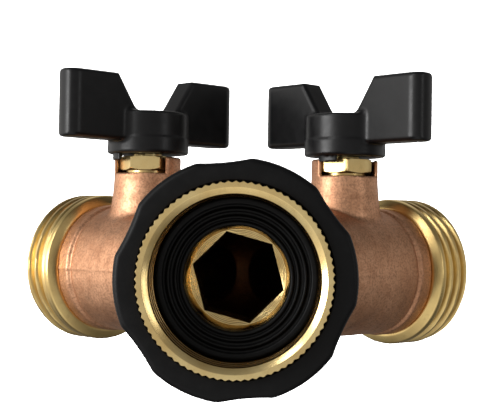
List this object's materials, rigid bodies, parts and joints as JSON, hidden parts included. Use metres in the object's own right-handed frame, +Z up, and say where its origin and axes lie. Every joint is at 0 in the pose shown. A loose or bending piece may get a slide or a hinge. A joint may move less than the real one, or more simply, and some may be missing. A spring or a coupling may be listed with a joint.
{
  "type": "hose splitter",
  "caption": "Two-way garden hose splitter: swivel inlet nut, cast Y body, ball valves with butterfly handles and male hose-thread outlets.",
  "frame": {"origin": "on the inlet axis, at the outer end of the full inlet thread", "axes": "-Y is the way the supply pipe leaves the inlet, +X is across the two outlets, +Z is up along the valve stems"},
  "size_m": [0.0812, 0.0671, 0.0523],
  "materials": {
    "cast_brass": "shot-blasted casting, matte",
    "machined_brass": "fine turned",
    "black_rubber": "matte",
    "grip_plastic": "fine matte texture",
    "handle_plastic": "satin moulded",
    "seat_plastic": "smooth",
    "plated_ball": "polished plating",
    "plated_steel": "zinc plated"
  },
  "bodies": {
    "housing": {"body": "cast_brass", "inlet_tailpiece": "machined_brass", "inlet_o_ring": "black_rubber", "left_outlet_connector": "machined_brass", "left_outlet_o_ring": "black_rubber", "left_inner_seat": "seat_plastic", "left_outer_seat": "seat_plastic", "left_thrust_washer": "seat_plastic", "left_packing_ring": "seat_plastic", "left_gland_nut": "machined_brass", "right_outlet_connector": "machined_brass", "right_outlet_o_ring": "black_rubber", "right_inner_seat": "seat_plastic", "right_outer_seat": "seat_plastic", "right_thrust_washer": "seat_plastic", "right_packing_ring": "seat_plastic", "right_gland_nut": "machined_brass"},
    "swivel": {"swivel_nut": "machined_brass", "swivel_grip": "grip_plastic", "hose_washer": "black_rubber"},
    "left_valve": {"left_handle": "handle_plastic", "left_handle_screw": "plated_steel", "left_stem": "machined_brass", "left_stem_o_rings": "black_rubber", "left_ball": "plated_ball"},
    "right_valve": {"right_handle": "handle_plastic", "right_handle_screw": "plated_steel", "right_stem": "machined_brass", "right_stem_o_rings": "black_rubber", "right_ball": "plated_ball"}
  },
  "joints": [
    {"name": "inlet_swivel", "type": "hinge", "parent": "housing", "child": "swivel", "pos_m": [0, 0, 0], "axis": [0, 1, 0], "continuous": true},
    {"name": "left_valve_turn", "type": "hinge", "parent": "housing", "child": "left_valve", "pos_m": [-0.01775, 0.0431, 0], "axis": [0, 0, 1], "range_deg": [0, 90]},
    {"name": "right_valve_turn", "type": "hinge", "parent": "housing", "child": "right_valve", "pos_m": [0.01775, 0.0431, 0], "axis": [0, 0, 1], "range_deg": [0, 90]}
  ]
}
